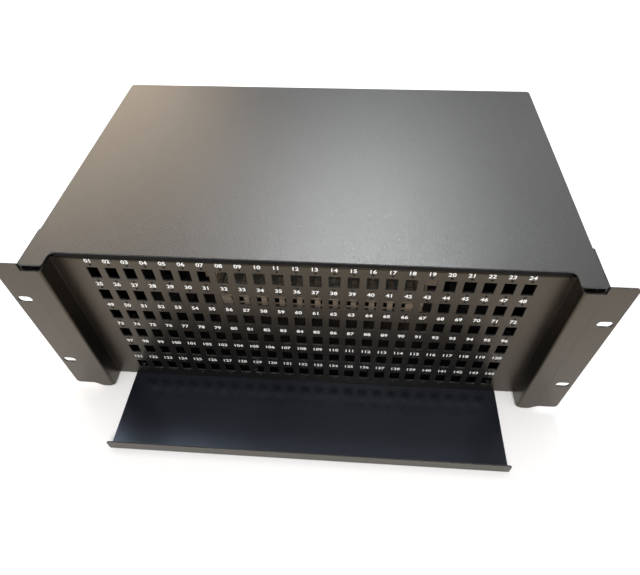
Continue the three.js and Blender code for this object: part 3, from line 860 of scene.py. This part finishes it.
def make_screw(node, body, outward, head_height, material):
    """A pan-head screw with a cross recess, in place of a CAD screw."""
    length, head = length_and_radius(node, outward)
    shank = 1.75 * MM
    profile = [(0, 0), (0.5 * head, -0.04 * head_height), (0.75 * head, -0.16 * head_height),
               (0.92 * head, -0.4 * head_height), (0.99 * head, -0.7 * head_height),
               (0.99 * head, -head_height), (shank, -head_height)]
    profile += thread(shank, -head_height - 0.3 * MM, -length + 0.6 * MM)
    profile += [(0.6 * shank, -length), (0, -length)]
    bm = bmesh.new()
    revolve(bm, profile, 28)
    bm = carved(bm, cross_cutter(0.62 * head, 0.26 * head, 0.75 * head_height))
    move(bm, towards(outward, node_top(node, outward)))
    finish_piece(f"{node}_detail", bm, [material], body, [node], smooth_angle=40)


def hexagon(angle):
    """How far a hexagon reaches at an angle, as a share of its corner radius."""
    sixth = math.pi / 3
    return math.cos(sixth / 2) / math.cos(angle % sixth - sixth / 2)


def hex_profile(bm, corner, bore, top, bottom, chamfer):
    """A chamfered hexagonal nut about Z with a plain bore."""
    flat = corner * math.cos(math.pi / 6)
    rings = [(bore, bottom), (flat * 0.97, bottom), (corner, bottom + chamfer),
             (corner, top - chamfer), (flat * 0.97, top), (bore, top)]
    hex_rings = (2, 3)
    revolve(bm, rings, 48, shape=lambda angle, index: hexagon(angle) if index in hex_rings else 1.0)


def make_nut(node, body, outward, bore, chamfer, material):
    length, corner = length_and_radius(node, outward)
    bm = bmesh.new()
    hex_profile(bm, corner, bore, 0, -length, chamfer)
    move(bm, towards(outward, node_top(node, outward)))
    finish_piece(f"{node}_detail", bm, [material], body, [node], smooth_angle=25)


def make_fasteners(black, zinc):
    for name, side in SIDES:
        for number in (1, 2, 3):
            make_screw(f"ear_screw_{name}_{number}", "housing", (side, 0, 0), 2.2 * MM, black)
        for number in (1, 2):
            make_screw(f"cover_screw_{name}_{number}", "cover", (side, 0, 0), 2.2 * MM, black)
            make_screw(f"rail_screw_{name}_{number}", "housing", (0, 0, -1), 1.0 * MM, black)
            rail_nut = f"rail_nut_{name}_{number}"
            make_nut(rail_nut, "housing", (0, 0, 1), 2.1 * MM, 0.4 * MM, zinc)
        make_screw(f"cover_screw_rear_{name}", "cover", (0, 1, 0), 2.2 * MM, black)
    for number in (1, 2, 3, 4):
        make_screw(f"panel_screw_{number}", "housing", (0, 0, 1), 2.2 * MM, zinc)


# ---------------------------------------------------------------- cable glands

def make_glands(nylon, rubber):
    for number, x in enumerate(GLANDS, 1):
        middle = Vector((x, FRONT, GLAND_HEIGHT))
        gland_body(number, middle, nylon, rubber)
        gland_nut(number, middle, nylon)
        lock_nut = f"gland_lock_nut_{number}"
        make_nut(lock_nut, "housing", (0, -1, 0), 10.3 * MM, 1.2 * MM, nylon)


def gland_body(number, middle, nylon, rubber):
    """Threaded tube, hexagonal collar and the rubber seal that grips the cable."""
    bm = bmesh.new()
    tube = [(6.5 * MM, 267.8 * MM), (9.4 * MM, 267.8 * MM)]
    tube += thread(10 * MM, 268.6 * MM, 280.2 * MM, 1.5 * MM)
    tube += [(9.2 * MM, 285.3 * MM), (9.2 * MM, 296 * MM), (8.6 * MM, 298 * MM), (6.5 * MM, 298 * MM)]
    revolve(bm, tube, 40)
    hex_profile(bm, 13.5 * MM, 9 * MM, 285.3 * MM, 280.3 * MM, 0.7 * MM)
    seal = [(3.6 * MM, 290 * MM), (6.45 * MM, 290 * MM), (6.45 * MM, 301.6 * MM),
            (5.4 * MM, 303.2 * MM), (3.9 * MM, 303.2 * MM), (3.5 * MM, 301.2 * MM)]
    revolve(bm, seal, 40, material=1)
    move(bm, towards((0, 1, 0), middle))
    finish_piece(f"gland_body_{number}_detail", bm, [nylon, rubber], "housing",
                 [f"gland_body_{number}"])


def gland_nut(number, middle, nylon):
    """The domed nut, with ribs to grip it by."""
    bm = bmesh.new()
    front = 285.6 * MM
    profile = [(9.9 * MM, front), (12.3 * MM, front), (12.75 * MM, front + 0.5 * MM),
               (12.75 * MM, front + 8.6 * MM), (12.3 * MM, front + 9.4 * MM), (11.5 * MM, 299.5 * MM),
               (10.5 * MM, 301.8 * MM), (9.3 * MM, 303.4 * MM), (8.2 * MM, 304 * MM), (7.1 * MM, 304 * MM),
               (6.6 * MM, 303.5 * MM), (6.6 * MM, 300 * MM), (9.9 * MM, 299 * MM)]
    ribbed = (1, 2, 3)

    def ribs(angle, index):
        return 1 - 0.035 * max(0.0, math.cos(12 * angle)) ** 3 if index in ribbed else 1.0

    revolve(bm, profile, 144, shape=ribs)
    move(bm, towards((0, 1, 0), middle))
    finish_piece(f"gland_nut_{number}_detail", bm, [nylon], f"gland_nut_{number}",
                 [f"gland_nut_{number}"])


# ---------------------------------------------------------------- splice trays, lid and wing nuts

SPLICE_HALF = 118 * MM
SPLICE_FRONT = 104 * MM
SPLICE_REAR = 214 * MM
SPLICE_HEIGHT = 10.3 * MM
SPLICE_STEP = 10.6 * MM
SPLICE_BOTTOM = 6.5 * MM
STUD = (133 * MM, 159 * MM)
ENTRY_PITCH = 20 * MM
ENTRY_WINDOW = 14 * MM


def make_splice_trays(ivory, foam_and_painted_shade):
    for index in range(4):
        bottom = SPLICE_BOTTOM + index * SPLICE_STEP
        bm = bmesh.new()
        tray_shell(bm)
        splice_holders(bm)
        if index == 3:
            for side in (-1, 1):
                hinge_lug(bm, side)
        move(bm, Matrix.Translation((0, FRONT, bottom)))
        node = f"splice_tray_{index + 1}"
        finish_piece(f"{node}_detail", bm, [ivory, foam_and_painted_shade], "housing", [node])


def tray_shell(bm):
    """Floor, rim wall, lugs for the studs, tabs that keep fibre down, and foam behind the entry windows."""
    outline = rectangle(-SPLICE_HALF, SPLICE_HALF, SPLICE_FRONT, SPLICE_REAR, 8 * MM, 8)
    wall = 1.6 * MM
    inner = rectangle(-SPLICE_HALF + wall, SPLICE_HALF - wall, SPLICE_FRONT + wall, SPLICE_REAR - wall,
                      6.4 * MM, 8)
    floor = Sheet(outline, [], wall, edge_slot=0)
    merge(bm, floor.bm)
    rim = bmesh.new()
    ring_wall(rim, outline, inner, SPLICE_HEIGHT)
    merge(bm, carved(rim, entry_windows()))
    for side in (-1, 1):
        left, right = sorted((side * (SPLICE_HALF - 1 * MM), side * (STUD[0] + 8 * MM)))
        lug = Sheet(rectangle(left, right, STUD[1] - 8 * MM, STUD[1] + 8 * MM, 3 * MM),
                    [circle(side * STUD[0], STUD[1], 2.5 * MM)], SPLICE_HEIGHT, rim=0.4 * MM, edge_slot=0)
        merge(bm, lug.bm)
        for depth in (122 * MM, 196 * MM):
            reach = sorted((side * (SPLICE_HALF - 1 * MM), side * (SPLICE_HALF - 11 * MM)))
            add_block(bm, (reach[0], depth - 5 * MM, 7.8 * MM), (reach[1], depth + 5 * MM, 9 * MM), 0.4 * MM)
    for x in (-70 * MM, 0, 70 * MM):
        add_block(bm, (x - 6 * MM, 204 * MM, 7.8 * MM), (x + 6 * MM, 213 * MM, 9 * MM), 0.4 * MM)
    for index in range(-5, 6):
        x = index * ENTRY_PITCH
        add_block(bm, (x - 3 * MM, 105 * MM, 7.8 * MM), (x + 3 * MM, 119 * MM, 9 * MM), 0.4 * MM)
    foam_bed = bmesh.new()
    add_block(foam_bed, (-106 * MM, 105.8 * MM, 1.4 * MM), (106 * MM, 124 * MM, 6.5 * MM), 0.5 * MM)
    for face in foam_bed.faces:
        face.material_index = 1
    merge(bm, foam_bed)


def entry_windows():
    """Plugs for the row of fibre entry windows in a tray's front wall."""
    bm = bmesh.new()
    half = ENTRY_WINDOW / 2
    for index in range(-5, 5):
        x = (index + 0.5) * ENTRY_PITCH
        add_block(bm, (x - half, SPLICE_FRONT - 1 * MM, 1.9 * MM),
                  (x + half, SPLICE_FRONT + 3 * MM, SPLICE_HEIGHT + 2 * MM), 0.8 * MM)
    return bm


def ring_wall(bm, outline, inner, height):
    """An upright wall between two loops, with its top edges rounded."""
    lip = 0.35 * MM
    rings = []
    for loop, level in ((outline, 0.2 * MM), (outline, height - lip), (inset(outline, lip), height),
                        (inset(inner, -lip), height), (inner, height - lip), (inner, 0.2 * MM)):
        rings.append([bm.verts.new((p.x, p.y, level)) for p in loop])
    for low, high in zip(rings, rings[1:] + rings[:1]):
        for i in range(len(low)):
            j = (i + 1) % len(low)
            bm.faces.new((low[i], low[j], high[j], high[i]))


def splice_holders(bm):
    """Two combs of slots that hold the splice sleeves side by side."""
    pitch = 4.2 * MM
    for middle in (-45 * MM, 45 * MM):
        for side in (-1, 1):
            y = 159 * MM + side * 14 * MM
            base = (middle - 27 * MM, y - 4 * MM, 1.4 * MM), (middle + 27 * MM, y + 4 * MM, 2.6 * MM)
            add_block(bm, *base, 0.3 * MM)
            for slot in range(13):
                x = middle + (slot - 6) * pitch
                add_block(bm, (x - 0.6 * MM, y - 3.6 * MM, 2.4 * MM), (x + 0.6 * MM, y + 3.6 * MM, 7 * MM),
                          0.25 * MM, 1)


def hinge_lug(bm, side):
    """A lug on the top tray that holds an end of the lid's pin."""
    left, right = sorted((side * 112.6 * MM, side * 117.5 * MM))
    bottom = 42.6 * MM - SPLICE_BOTTOM - 3 * SPLICE_STEP
    top = 52.8 * MM - SPLICE_BOTTOM - 3 * SPLICE_STEP
    pin_height = 50.2 * MM - SPLICE_BOTTOM - 3 * SPLICE_STEP
    lug = Sheet(rectangle(213 * MM, 219.6 * MM, bottom, top, 1.5 * MM),
                [circle(217 * MM, pin_height, 1.5 * MM)], right - left, edge_slot=0)
    lug.move(frame_matrix((left, 0, 0), *BACK_UP_RIGHT))
    merge(bm, lug.bm)


def make_splice_lid(milky):
    """The clear lid: a thin plate with stiffening ribs and a hinge barrel at the back."""
    bottom, thickness = 48.9 * MM, 1.6 * MM
    outline = rectangle(-112 * MM, 112 * MM, 105 * MM, 212 * MM, 6 * MM, 6)
    plate = Sheet(outline, [], 1.1 * MM, 0.25 * MM, edge_slot=0)
    bm = plate.bm
    for x in (-60 * MM, 0, 60 * MM):
        add_block(bm, (x - 1 * MM, 112 * MM, 0.9 * MM), (x + 1 * MM, 205 * MM, thickness), 0.3 * MM)
    add_block(bm, (-108 * MM, 108 * MM, 0.9 * MM), (108 * MM, 110 * MM, thickness), 0.3 * MM)
    for left in (-111 * MM, -30 * MM, 51 * MM):
        add_block(bm, (left, 210.5 * MM, 0.1 * MM), (left + 60 * MM, 217 * MM, 1.5 * MM), 0.3 * MM)
        barrel = bmesh.new()
        revolve(barrel, [(0, 0), (1.7 * MM, 0), (2 * MM, 0.3 * MM), (2 * MM, 59.7 * MM),
                         (1.7 * MM, 60 * MM), (0, 60 * MM)], 24)
        move(barrel, towards((1, 0, 0), (left, 217 * MM, 1.3 * MM)))
        merge(bm, barrel)
    pin = bmesh.new()
    revolve(pin, [(0, 0), (1.2 * MM, 0.3 * MM), (1.2 * MM, 233.7 * MM), (0, 234 * MM)], 20)
    move(pin, towards((1, 0, 0), (-117 * MM, 217 * MM, 1.3 * MM)))
    merge(bm, pin)
    move(bm, Matrix.Translation((0, FRONT, bottom)))
    finish_piece("splice_lid_detail", bm, [milky], "splice_lid", ["splice_lid"])


def make_studs_and_wing_nuts(zinc):
    for name, side in SIDES:
        node = f"splice_stud_{name}"
        low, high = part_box(node)
        length = high.z - low.z
        foot = (high.x - low.x) / 2
        bm = bmesh.new()
        profile = [(0, 0), (0.97 * foot, 0), (0.99 * foot, 0.3 * MM), (0.99 * foot, 1.5 * MM),
                   (2.1 * MM, 1.9 * MM)]
        profile += thread(2.15 * MM, 2.2 * MM, length - 0.6 * MM) + [(1.5 * MM, length), (0, length)]
        revolve(bm, profile, 24)
        place = Vector((side * STUD[0], FRONT + STUD[1], low.z))
        move(bm, Matrix.Translation(place))
        finish_piece(f"{node}_detail", bm, [zinc], "housing", [node])
        wing_nut(name, side, zinc)


WING = ((3.2, 1), (6, 2), (9.4, 4.4), (11.6, 7.6), (11.9, 9.6), (11.3, 11.2), (10, 11.9), (8.4, 11.7),
        (7, 10.4), (5.4, 7.6), (3.4, 5.4))


def wing_nut(name, side, zinc):
    """A cast wing nut: a tapered hub with two upswept wings."""
    node = f"wing_nut_{name}"
    bm = bmesh.new()
    revolve(bm, [(2.4 * MM, 0), (4.7 * MM, 0), (5 * MM, 0.4 * MM), (4.2 * MM, 5.6 * MM), (3.8 * MM, 6 * MM),
                 (2.4 * MM, 6 * MM)], 32)
    for way in (-1, 1):
        wing = Sheet([Vector(p) * MM for p in WING], [], 1.8 * MM, rim=0.5 * MM, edge_slot=0)
        wing.move(frame_matrix((-way * 0.9 * MM, 0, 0), (0, way, 0), (0, 0, 1), (way, 0, 0)))
        merge(bm, wing.bm)
    place = Vector((side * STUD[0], FRONT + STUD[1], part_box(node)[0].z))
    move(bm, Matrix.Translation(place))
    finish_piece(f"{node}_detail", bm, [zinc], node, [node])


# ---------------------------------------------------------------- cable clamps, slack spools and ground stud

def make_cable_clamps(zinc, zinc_edge):
    for name, side in SIDES:
        middle = side * 150 * MM
        radius = 0.8 * MM
        start = 228 * MM + BODY_SHEET + radius
        fence = 40 * MM - BODY_SHEET - radius
        end = start - bend_length(BODY_SHEET, radius) - fence
        outline = rectangle(middle - 34 * MM, middle + 34 * MM, end, 250 * MM, 2 * MM)
        low = end + 6 * MM
        holes = [rectangle(middle + x - 4.5 * MM, middle + x + 4.5 * MM, low, low + 20 * MM, 1 * MM)
                 for x in (-24 * MM, -8 * MM, 8 * MM, 24 * MM)]
        sheet = Sheet(outline, holes, BODY_SHEET)
        sheet.fold([(1, start, -1, RIGHT_ANGLE, radius, lambda x, y: True)])
        sheet.move(Matrix.Translation((0, FRONT, FLOOR_TOP)))
        finish_piece(f"cable_clamp_{name}_sheet", sheet.bm, [zinc, zinc_edge], "housing",
                     [f"cable_clamp_{name}"])


def make_slack_spools(nylon):
    """Drums for the spare fibre, with ribs inside."""
    for name, side in SIDES:
        bm = bmesh.new()
        revolve(bm, [(22.6 * MM, 0), (30.6 * MM, 0), (31 * MM, 0.4 * MM), (31 * MM, 1.2 * MM),
                     (30.6 * MM, 1.6 * MM), (25.6 * MM, 1.6 * MM), (25 * MM, 2.4 * MM), (25 * MM, 21.6 * MM),
                     (25.6 * MM, 22.4 * MM), (30.6 * MM, 22.4 * MM), (31 * MM, 22.8 * MM),
                     (31 * MM, 23.6 * MM), (30.6 * MM, 24 * MM), (22.6 * MM, 24 * MM)], 64)
        hub = [(3 * MM, 0), (6 * MM, 0), (6 * MM, 23 * MM), (5.6 * MM, 23.4 * MM), (3 * MM, 23.4 * MM)]
        revolve(bm, hub, 32)
        for step in range(6):
            rib = bmesh.new()
            add_block(rib, (5.5 * MM, -0.9 * MM, 0.2 * MM), (23 * MM, 0.9 * MM, 22.5 * MM), 0.3 * MM)
            move(rib, Matrix.Rotation(step * math.pi / 3, 4, "Z"))
            merge(bm, rib)
        place = Vector((side * 178 * MM, FRONT + 128 * MM, FLOOR_TOP))
        move(bm, Matrix.Translation(place))
        finish_piece(f"slack_spool_{name}_detail", bm, [nylon], "housing",
                     [f"slack_spool_{name}"])


def make_ground_stud(zinc):
    low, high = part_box("ground_stud")
    length = high.y - low.y
    bm = bmesh.new()
    revolve(bm, [(0, 0), (5.2 * MM, 0), (5.4 * MM, 0.3 * MM), (5.4 * MM, 2.9 * MM), (2.8 * MM, 3 * MM)]
            + thread(2.85 * MM, 3.2 * MM, length - 0.8 * MM) + [(2 * MM, length), (0, length)], 32,
            shape=lambda angle, index: hexagon(angle) if index in (1, 2, 3) else 1.0)
    move(bm, towards((0, 1, 0), (0, low.y, 22 * MM)))
    finish_piece("ground_stud_detail", bm, [zinc], "housing", ["ground_stud"], smooth_angle=25)
    make_nut("ground_nut", "housing", (0, 1, 0), 3.1 * MM, 0.6 * MM, zinc)


# ---------------------------------------------------------------- run

make_camera()
make_floor()
make_lights()
warm = (0.75, 0.6, 0.42)
neutral = (1.0, 0.99, 0.98)
cool = (0.74, 0.84, 1.0)
coat = powder_coat("black_powder_coat", (0.002, 0.0019, 0.0018), (0.0034, 0.0032, 0.003), 0.33, 0.5, warm)
body_coat = powder_coat("black_body_coat", (0.006, 0.006, 0.006), (0.01, 0.01, 0.01), 0.36, 0.6, neutral)
cover_coat = powder_coat("black_cover_coat", (0.008, 0.008, 0.008), (0.012, 0.012, 0.012), 0.31, 1.0, neutral)
# painted reflection: the tray's coat gets a bluish base, lighter than the front coat, standing in for the
# cool light its surface reflects
tray_tones_with_painted_reflection = ((0.0055, 0.006, 0.009), (0.011, 0.012, 0.017))
tray_coat = powder_coat("black_tray_coat", *tray_tones_with_painted_reflection, 0.22, 0.2, cool, gloss=1.75)
edge = worn_edge("rubbed_cut_edge")
ink = print_ink("white_print")
zinc = zinc_plate("bright_zinc", (0.78, 0.79, 0.8))
zinc_edge = zinc_plate("sheared_zinc", (0.62, 0.62, 0.62))
black = black_zinc("black_zinc")
ivory = moulded_plastic("ivory_plastic", (0.78, 0.6, 0.44), (0.86, 0.7, 0.54), 0.5, 0.4)
milky = milky_lid("milky_plastic")
nylon = moulded_plastic("black_nylon", (0.016, 0.016, 0.017), (0.026, 0.026, 0.027), 0.5, 0.6)
# flat black: foam under the splice trays' entry windows, and painted shade on the cover's front flange
foam_and_painted_shade = moulded_plastic("black_foam_and_painted_shade", (0.001, 0.001, 0.001), (0.002, 0.002, 0.002), 0.95, 0.8)
rubber = moulded_plastic("black_rubber", (0.01, 0.01, 0.01), (0.018, 0.018, 0.018), 0.7, 0.4)

make_front_panel(coat, edge)
make_port_numbers(ink)
make_base_pan(body_coat, edge)
make_top_cover(cover_coat, edge, foam_and_painted_shade)
make_ears(coat, edge)
make_cable_tray(tray_coat, edge, coat)
make_fasteners(black, zinc)
make_glands(nylon, rubber)
make_splice_trays(ivory, foam_and_painted_shade)
make_splice_lid(milky)
make_studs_and_wing_nuts(zinc)
make_cable_clamps(zinc, zinc_edge)
make_slack_spools(nylon)
make_ground_stud(zinc)
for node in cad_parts.values():
    node.data.materials.clear()
    node.data.materials.append(coat)
